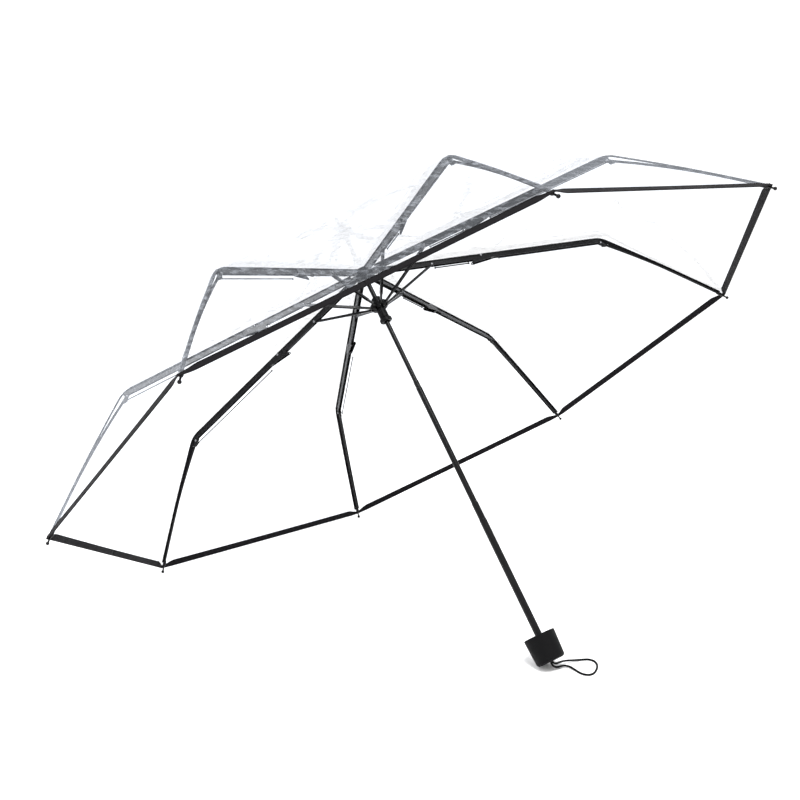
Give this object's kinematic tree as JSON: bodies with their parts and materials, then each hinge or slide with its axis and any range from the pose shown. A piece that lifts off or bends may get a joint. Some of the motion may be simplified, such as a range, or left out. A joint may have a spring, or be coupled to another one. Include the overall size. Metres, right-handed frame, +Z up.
{
  "type": "clear folding umbrella",
  "caption": "Clear film umbrella with black folding ribs, a telescopic shaft, a short round handle and a wrist cord, lying open on its handle and two rib tips.",
  "frame": {"origin": "on the floor, under the middle of the open umbrella's box, as it lies on its handle's edge and two rib tips", "axes": "+Z up from the floor; the shaft lies in the XZ plane and leans towards -X, with the handle on the +X side; +Y across the canopy's full width"},
  "size_m": [0.6985, 0.89, 0.5887],
  "materials": {
    "handle_plastic": "soft-touch moulded",
    "plug_plastic": "moulded",
    "cord": "braided",
    "tube_paint": "gloss enamel",
    "crown_plastic": "moulded",
    "bright_wire": "drawn wire",
    "runner_plastic": "moulded",
    "film": "clear film",
    "tape": "satin binding",
    "rib_paint": "gloss enamel",
    "strut_paint": "gloss enamel",
    "outer_rib_paint": "gloss enamel",
    "rod_steel": "blackened wire"
  },
  "bodies": {
    "grip": {"handle": "handle_plastic", "end_plug": "plug_plastic", "wrist_cord": "cord", "lower_tube": "tube_paint"},
    "middle_section": {"middle_tube": "tube_paint"},
    "shaft_top": {"upper_tube": "tube_paint", "crown": "crown_plastic", "crown_wire": "bright_wire", "ferrule_cap": "crown_plastic", "canopy_film": "film", "hem_tape": "tape"},
    "runner_body": {"runner": "runner_plastic"},
    "top_rib_1_body": {"top_rib_1": "rib_paint"},
    "strut_1_body": {"strut_1": "strut_paint"},
    "mid_rib_1_body": {"mid_rib_1": "rib_paint"},
    "outer_rib_1_body": {"outer_rib_1": "outer_rib_paint"},
    "tie_rod_1_body": {"tie_rod_1": "rod_steel"},
    "knee_wire_1_body": {"knee_wire_1": "rod_steel"},
    "top_rib_2_body": {"top_rib_2": "rib_paint"},
    "strut_2_body": {"strut_2": "strut_paint"},
    "mid_rib_2_body": {"mid_rib_2": "rib_paint"},
    "outer_rib_2_body": {"outer_rib_2": "outer_rib_paint"},
    "tie_rod_2_body": {"tie_rod_2": "rod_steel"},
    "knee_wire_2_body": {"knee_wire_2": "rod_steel"},
    "top_rib_3_body": {"top_rib_3": "rib_paint"},
    "strut_3_body": {"strut_3": "strut_paint"},
    "mid_rib_3_body": {"mid_rib_3": "rib_paint"},
    "outer_rib_3_body": {"outer_rib_3": "outer_rib_paint"},
    "tie_rod_3_body": {"tie_rod_3": "rod_steel"},
    "knee_wire_3_body": {"knee_wire_3": "rod_steel"},
    "top_rib_4_body": {"top_rib_4": "rib_paint"},
    "strut_4_body": {"strut_4": "strut_paint"},
    "mid_rib_4_body": {"mid_rib_4": "rib_paint"},
    "outer_rib_4_body": {"outer_rib_4": "outer_rib_paint"},
    "tie_rod_4_body": {"tie_rod_4": "rod_steel"},
    "knee_wire_4_body": {"knee_wire_4": "rod_steel"},
    "top_rib_5_body": {"top_rib_5": "rib_paint"},
    "strut_5_body": {"strut_5": "strut_paint"},
    "mid_rib_5_body": {"mid_rib_5": "rib_paint"},
    "outer_rib_5_body": {"outer_rib_5": "outer_rib_paint"},
    "tie_rod_5_body": {"tie_rod_5": "rod_steel"},
    "knee_wire_5_body": {"knee_wire_5": "rod_steel"},
    "top_rib_6_body": {"top_rib_6": "rib_paint"},
    "strut_6_body": {"strut_6": "strut_paint"},
    "mid_rib_6_body": {"mid_rib_6": "rib_paint"},
    "outer_rib_6_body": {"outer_rib_6": "outer_rib_paint"},
    "tie_rod_6_body": {"tie_rod_6": "rod_steel"},
    "knee_wire_6_body": {"knee_wire_6": "rod_steel"},
    "top_rib_7_body": {"top_rib_7": "rib_paint"},
    "strut_7_body": {"strut_7": "strut_paint"},
    "mid_rib_7_body": {"mid_rib_7": "rib_paint"},
    "outer_rib_7_body": {"outer_rib_7": "outer_rib_paint"},
    "tie_rod_7_body": {"tie_rod_7": "rod_steel"},
    "knee_wire_7_body": {"knee_wire_7": "rod_steel"},
    "top_rib_8_body": {"top_rib_8": "rib_paint"},
    "strut_8_body": {"strut_8": "strut_paint"},
    "mid_rib_8_body": {"mid_rib_8": "rib_paint"},
    "outer_rib_8_body": {"outer_rib_8": "outer_rib_paint"},
    "tie_rod_8_body": {"tie_rod_8": "rod_steel"},
    "knee_wire_8_body": {"knee_wire_8": "rod_steel"}
  },
  "joints": [
    {"name": "middle_section_slide", "type": "slide", "parent": "grip", "child": "middle_section", "axis": [-0.6234, 0, 0.7819], "range_m": [-0.16, 0]},
    {"name": "upper_section_slide", "type": "slide", "parent": "middle_section", "child": "shaft_top", "axis": [-0.6234, 0, 0.7819], "range_m": [-0.14, 0]},
    {"name": "canopy_fold", "type": "hinge", "parent": "shaft_top", "child": "top_rib_1_body", "pos_m": [-0.11466, 0.00402, 0.43758], "axis": [-0.2992, 0.9239, -0.2385], "range_deg": [0, 80.26], "deforming": ["canopy_film", "hem_tape"]},
    {"name": "strut_1_pivot", "type": "hinge", "parent": "top_rib_1_body", "child": "strut_1_body", "pos_m": [-0.0458, 0.03567, 0.4738], "axis": [-0.2992, 0.9239, -0.2385], "range_deg": [-148.87, 0]},
    {"name": "elbow_1_hinge", "type": "hinge", "parent": "top_rib_1_body", "child": "mid_rib_1_body", "pos_m": [0.01087, 0.06263, 0.50714], "axis": [-0.2992, 0.9239, -0.2385], "range_deg": [-178, 0]},
    {"name": "knee_1_hinge", "type": "hinge", "parent": "mid_rib_1_body", "child": "outer_rib_1_body", "pos_m": [0.16067, 0.13018, 0.58081], "axis": [-0.2992, 0.9239, -0.2385], "range_deg": [0, 145.04]},
    {"name": "tie_rod_1_slide", "type": "slide", "parent": "top_rib_1_body", "child": "tie_rod_1_body", "axis": [0.8175, 0.3772, 0.4353], "range_m": [0, 0.0155]},
    {"name": "knee_wire_1_slide", "type": "slide", "parent": "mid_rib_1_body", "child": "knee_wire_1_body", "axis": [0.8175, 0.3772, 0.4353], "range_m": [-0.0075, 0]},
    {"name": "top_rib_2_hinge", "type": "hinge", "parent": "shaft_top", "child": "top_rib_2_body", "pos_m": [-0.1191, 0.0097, 0.43404], "axis": [-0.7224, 0.3827, -0.5759], "range_deg": [-0.5, 80.76]},
    {"name": "strut_2_pivot", "type": "hinge", "parent": "top_rib_2_body", "child": "strut_2_body", "pos_m": [-0.08525, 0.08613, 0.44235], "axis": [-0.7224, 0.3827, -0.5759], "range_deg": [-148.87, 0]},
    {"name": "elbow_2_hinge", "type": "hinge", "parent": "top_rib_2_body", "child": "mid_rib_2_body", "pos_m": [-0.0584, 0.15121, 0.45192], "axis": [-0.7224, 0.3827, -0.5759], "range_deg": [-178, 0]},
    {"name": "knee_2_hinge", "type": "hinge", "parent": "mid_rib_2_body", "child": "outer_rib_2_body", "pos_m": [0.01671, 0.31427, 0.46605], "axis": [-0.7224, 0.3827, -0.5759], "range_deg": [0, 145.04]},
    {"name": "tie_rod_2_slide", "type": "slide", "parent": "top_rib_2_body", "child": "tie_rod_2_body", "axis": [0.4004, 0.9106, 0.1028], "range_m": [0, 0.0155]},
    {"name": "knee_wire_2_slide", "type": "slide", "parent": "mid_rib_2_body", "child": "knee_wire_2_body", "axis": [0.4004, 0.9106, 0.1028], "range_m": [-0.0075, 0]},
    {"name": "top_rib_3_hinge", "type": "hinge", "parent": "shaft_top", "child": "top_rib_3_body", "pos_m": [-0.12539, 0.0097, 0.42903], "axis": [-0.7224, -0.3827, -0.5759], "range_deg": [-0.5, 80.76]},
    {"name": "strut_3_pivot", "type": "hinge", "parent": "top_rib_3_body", "child": "strut_3_body", "pos_m": [-0.14104, 0.08613, 0.39788], "axis": [-0.7224, -0.3827, -0.5759], "range_deg": [-148.87, 0]},
    {"name": "elbow_3_hinge", "type": "hinge", "parent": "top_rib_3_body", "child": "mid_rib_3_body", "pos_m": [-0.15635, 0.15121, 0.37384], "axis": [-0.7224, -0.3827, -0.5759], "range_deg": [-178, 0]},
    {"name": "knee_3_hinge", "type": "hinge", "parent": "mid_rib_3_body", "child": "outer_rib_3_body", "pos_m": [-0.18686, 0.31427, 0.30376], "axis": [-0.7224, -0.3827, -0.5759], "range_deg": [0, 145.04]},
    {"name": "tie_rod_3_slide", "type": "slide", "parent": "top_rib_3_body", "child": "tie_rod_3_body", "axis": [-0.1895, 0.9106, -0.3674], "range_m": [0, 0.0155]},
    {"name": "knee_wire_3_slide", "type": "slide", "parent": "mid_rib_3_body", "child": "knee_wire_3_body", "axis": [-0.1895, 0.9106, -0.3674], "range_m": [-0.0075, 0]},
    {"name": "top_rib_4_hinge", "type": "hinge", "parent": "shaft_top", "child": "top_rib_4_body", "pos_m": [-0.12983, 0.00402, 0.42549], "axis": [-0.2992, -0.9239, -0.2385], "range_deg": [-0.5, 80.76]},
    {"name": "strut_4_pivot", "type": "hinge", "parent": "top_rib_4_body", "child": "strut_4_body", "pos_m": [-0.18049, 0.03567, 0.36643], "axis": [-0.2992, -0.9239, -0.2385], "range_deg": [-148.87, 0]},
    {"name": "elbow_4_hinge", "type": "hinge", "parent": "top_rib_4_body", "child": "mid_rib_4_body", "pos_m": [-0.22561, 0.06263, 0.31862], "axis": [-0.2992, -0.9239, -0.2385], "range_deg": [-178, 0]},
    {"name": "knee_4_hinge", "type": "hinge", "parent": "mid_rib_4_body", "child": "outer_rib_4_body", "pos_m": [-0.33081, 0.13018, 0.189], "axis": [-0.2992, -0.9239, -0.2385], "range_deg": [0, 145.04]},
    {"name": "tie_rod_4_slide", "type": "slide", "parent": "top_rib_4_body", "child": "tie_rod_4_body", "axis": [-0.6065, 0.3772, -0.6999], "range_m": [0, 0.0155]},
    {"name": "knee_wire_4_slide", "type": "slide", "parent": "mid_rib_4_body", "child": "knee_wire_4_body", "axis": [-0.6065, 0.3772, -0.6999], "range_m": [-0.0075, 0]},
    {"name": "top_rib_5_hinge", "type": "hinge", "parent": "shaft_top", "child": "top_rib_5_body", "pos_m": [-0.12983, -0.00402, 0.42549], "axis": [0.2992, -0.9239, 0.2385], "range_deg": [-0.5, 80.76]},
    {"name": "strut_5_pivot", "type": "hinge", "parent": "top_rib_5_body", "child": "strut_5_body", "pos_m": [-0.18049, -0.03567, 0.36643], "axis": [0.2992, -0.9239, 0.2385], "range_deg": [-148.87, 0]},
    {"name": "elbow_5_hinge", "type": "hinge", "parent": "top_rib_5_body", "child": "mid_rib_5_body", "pos_m": [-0.22561, -0.06263, 0.31862], "axis": [0.2992, -0.9239, 0.2385], "range_deg": [-178, 0]},
    {"name": "knee_5_hinge", "type": "hinge", "parent": "mid_rib_5_body", "child": "outer_rib_5_body", "pos_m": [-0.33081, -0.13018, 0.189], "axis": [0.2992, -0.9239, 0.2385], "range_deg": [0, 145.04]},
    {"name": "tie_rod_5_slide", "type": "slide", "parent": "top_rib_5_body", "child": "tie_rod_5_body", "axis": [-0.6065, -0.3772, -0.6999], "range_m": [0, 0.0155]},
    {"name": "knee_wire_5_slide", "type": "slide", "parent": "mid_rib_5_body", "child": "knee_wire_5_body", "axis": [-0.6065, -0.3772, -0.6999], "range_m": [-0.0075, 0]},
    {"name": "top_rib_6_hinge", "type": "hinge", "parent": "shaft_top", "child": "top_rib_6_body", "pos_m": [-0.12539, -0.0097, 0.42903], "axis": [0.7224, -0.3827, 0.5759], "range_deg": [-0.5, 80.76]},
    {"name": "strut_6_pivot", "type": "hinge", "parent": "top_rib_6_body", "child": "strut_6_body", "pos_m": [-0.14104, -0.08613, 0.39788], "axis": [0.7224, -0.3827, 0.5759], "range_deg": [-148.87, 0]},
    {"name": "elbow_6_hinge", "type": "hinge", "parent": "top_rib_6_body", "child": "mid_rib_6_body", "pos_m": [-0.15635, -0.15121, 0.37384], "axis": [0.7224, -0.3827, 0.5759], "range_deg": [-178, 0]},
    {"name": "knee_6_hinge", "type": "hinge", "parent": "mid_rib_6_body", "child": "outer_rib_6_body", "pos_m": [-0.18686, -0.31427, 0.30376], "axis": [0.7224, -0.3827, 0.5759], "range_deg": [0, 145.04]},
    {"name": "tie_rod_6_slide", "type": "slide", "parent": "top_rib_6_body", "child": "tie_rod_6_body", "axis": [-0.1895, -0.9106, -0.3674], "range_m": [0, 0.0155]},
    {"name": "knee_wire_6_slide", "type": "slide", "parent": "mid_rib_6_body", "child": "knee_wire_6_body", "axis": [-0.1895, -0.9106, -0.3674], "range_m": [-0.0075, 0]},
    {"name": "top_rib_7_hinge", "type": "hinge", "parent": "shaft_top", "child": "top_rib_7_body", "pos_m": [-0.1191, -0.0097, 0.43404], "axis": [0.7224, 0.3827, 0.5759], "range_deg": [-0.5, 80.76]},
    {"name": "strut_7_pivot", "type": "hinge", "parent": "top_rib_7_body", "child": "strut_7_body", "pos_m": [-0.08525, -0.08613, 0.44235], "axis": [0.7224, 0.3827, 0.5759], "range_deg": [-148.87, 0]},
    {"name": "elbow_7_hinge", "type": "hinge", "parent": "top_rib_7_body", "child": "mid_rib_7_body", "pos_m": [-0.0584, -0.15121, 0.45192], "axis": [0.7224, 0.3827, 0.5759], "range_deg": [-178, 0]},
    {"name": "knee_7_hinge", "type": "hinge", "parent": "mid_rib_7_body", "child": "outer_rib_7_body", "pos_m": [0.01671, -0.31427, 0.46605], "axis": [0.7224, 0.3827, 0.5759], "range_deg": [0, 145.04]},
    {"name": "tie_rod_7_slide", "type": "slide", "parent": "top_rib_7_body", "child": "tie_rod_7_body", "axis": [0.4004, -0.9106, 0.1028], "range_m": [0, 0.0155]},
    {"name": "knee_wire_7_slide", "type": "slide", "parent": "mid_rib_7_body", "child": "knee_wire_7_body", "axis": [0.4004, -0.9106, 0.1028], "range_m": [-0.0075, 0]},
    {"name": "top_rib_8_hinge", "type": "hinge", "parent": "shaft_top", "child": "top_rib_8_body", "pos_m": [-0.11466, -0.00402, 0.43758], "axis": [0.2992, 0.9239, 0.2385], "range_deg": [-0.5, 80.76]},
    {"name": "strut_8_pivot", "type": "hinge", "parent": "top_rib_8_body", "child": "strut_8_body", "pos_m": [-0.0458, -0.03567, 0.4738], "axis": [0.2992, 0.9239, 0.2385], "range_deg": [-148.87, 0]},
    {"name": "elbow_8_hinge", "type": "hinge", "parent": "top_rib_8_body", "child": "mid_rib_8_body", "pos_m": [0.01087, -0.06263, 0.50714], "axis": [0.2992, 0.9239, 0.2385], "range_deg": [-178, 0]},
    {"name": "knee_8_hinge", "type": "hinge", "parent": "mid_rib_8_body", "child": "outer_rib_8_body", "pos_m": [0.16067, -0.13018, 0.58081], "axis": [0.2992, 0.9239, 0.2385], "range_deg": [0, 145.04]},
    {"name": "tie_rod_8_slide", "type": "slide", "parent": "top_rib_8_body", "child": "tie_rod_8_body", "axis": [0.8175, -0.3772, 0.4353], "range_m": [0, 0.0155]},
    {"name": "knee_wire_8_slide", "type": "slide", "parent": "mid_rib_8_body", "child": "knee_wire_8_body", "axis": [0.8175, -0.3772, 0.4353], "range_m": [-0.0075, 0]},
    {"name": "runner_slide", "type": "slide", "parent": "shaft_top", "child": "runner_body", "axis": [-0.6234, 0, 0.7819], "range_m": [-0.12608, 0.0005]}
  ],
  "couplings": [
    {"joint": "strut_1_pivot", "follows": "canopy_fold", "ratio": -1.8486},
    {"joint": "elbow_1_hinge", "follows": "canopy_fold", "ratio": -2.2116},
    {"joint": "knee_1_hinge", "follows": "canopy_fold", "ratio": 1.8009},
    {"joint": "tie_rod_1_slide", "follows": "canopy_fold", "m_per_rad": 0.010708},
    {"joint": "knee_wire_1_slide", "follows": "canopy_fold", "m_per_rad": -0.0049971},
    {"joint": "top_rib_2_hinge", "follows": "canopy_fold", "ratio": 1},
    {"joint": "strut_2_pivot", "follows": "canopy_fold", "ratio": -1.8486},
    {"joint": "elbow_2_hinge", "follows": "canopy_fold", "ratio": -2.2116},
    {"joint": "knee_2_hinge", "follows": "canopy_fold", "ratio": 1.8009},
    {"joint": "tie_rod_2_slide", "follows": "canopy_fold", "m_per_rad": 0.010708},
    {"joint": "knee_wire_2_slide", "follows": "canopy_fold", "m_per_rad": -0.0049971},
    {"joint": "top_rib_3_hinge", "follows": "canopy_fold", "ratio": 1},
    {"joint": "strut_3_pivot", "follows": "canopy_fold", "ratio": -1.8486},
    {"joint": "elbow_3_hinge", "follows": "canopy_fold", "ratio": -2.2116},
    {"joint": "knee_3_hinge", "follows": "canopy_fold", "ratio": 1.8009},
    {"joint": "tie_rod_3_slide", "follows": "canopy_fold", "m_per_rad": 0.010708},
    {"joint": "knee_wire_3_slide", "follows": "canopy_fold", "m_per_rad": -0.0049971},
    {"joint": "top_rib_4_hinge", "follows": "canopy_fold", "ratio": 1},
    {"joint": "strut_4_pivot", "follows": "canopy_fold", "ratio": -1.8486},
    {"joint": "elbow_4_hinge", "follows": "canopy_fold", "ratio": -2.2116},
    {"joint": "knee_4_hinge", "follows": "canopy_fold", "ratio": 1.8009},
    {"joint": "tie_rod_4_slide", "follows": "canopy_fold", "m_per_rad": 0.010708},
    {"joint": "knee_wire_4_slide", "follows": "canopy_fold", "m_per_rad": -0.0049971},
    {"joint": "top_rib_5_hinge", "follows": "canopy_fold", "ratio": 1},
    {"joint": "strut_5_pivot", "follows": "canopy_fold", "ratio": -1.8486},
    {"joint": "elbow_5_hinge", "follows": "canopy_fold", "ratio": -2.2116},
    {"joint": "knee_5_hinge", "follows": "canopy_fold", "ratio": 1.8009},
    {"joint": "tie_rod_5_slide", "follows": "canopy_fold", "m_per_rad": 0.010708},
    {"joint": "knee_wire_5_slide", "follows": "canopy_fold", "m_per_rad": -0.0049971},
    {"joint": "top_rib_6_hinge", "follows": "canopy_fold", "ratio": 1},
    {"joint": "strut_6_pivot", "follows": "canopy_fold", "ratio": -1.8486},
    {"joint": "elbow_6_hinge", "follows": "canopy_fold", "ratio": -2.2116},
    {"joint": "knee_6_hinge", "follows": "canopy_fold", "ratio": 1.8009},
    {"joint": "tie_rod_6_slide", "follows": "canopy_fold", "m_per_rad": 0.010708},
    {"joint": "knee_wire_6_slide", "follows": "canopy_fold", "m_per_rad": -0.0049971},
    {"joint": "top_rib_7_hinge", "follows": "canopy_fold", "ratio": 1},
    {"joint": "strut_7_pivot", "follows": "canopy_fold", "ratio": -1.8486},
    {"joint": "elbow_7_hinge", "follows": "canopy_fold", "ratio": -2.2116},
    {"joint": "knee_7_hinge", "follows": "canopy_fold", "ratio": 1.8009},
    {"joint": "tie_rod_7_slide", "follows": "canopy_fold", "m_per_rad": 0.010708},
    {"joint": "knee_wire_7_slide", "follows": "canopy_fold", "m_per_rad": -0.0049971},
    {"joint": "top_rib_8_hinge", "follows": "canopy_fold", "ratio": 1},
    {"joint": "strut_8_pivot", "follows": "canopy_fold", "ratio": -1.8486},
    {"joint": "elbow_8_hinge", "follows": "canopy_fold", "ratio": -2.2116},
    {"joint": "knee_8_hinge", "follows": "canopy_fold", "ratio": 1.8009},
    {"joint": "tie_rod_8_slide", "follows": "canopy_fold", "m_per_rad": 0.010708},
    {"joint": "knee_wire_8_slide", "follows": "canopy_fold", "m_per_rad": -0.0049971},
    {"joint": "runner_slide", "follows": "canopy_fold", "m_per_rad": -0.089648}
  ]
}
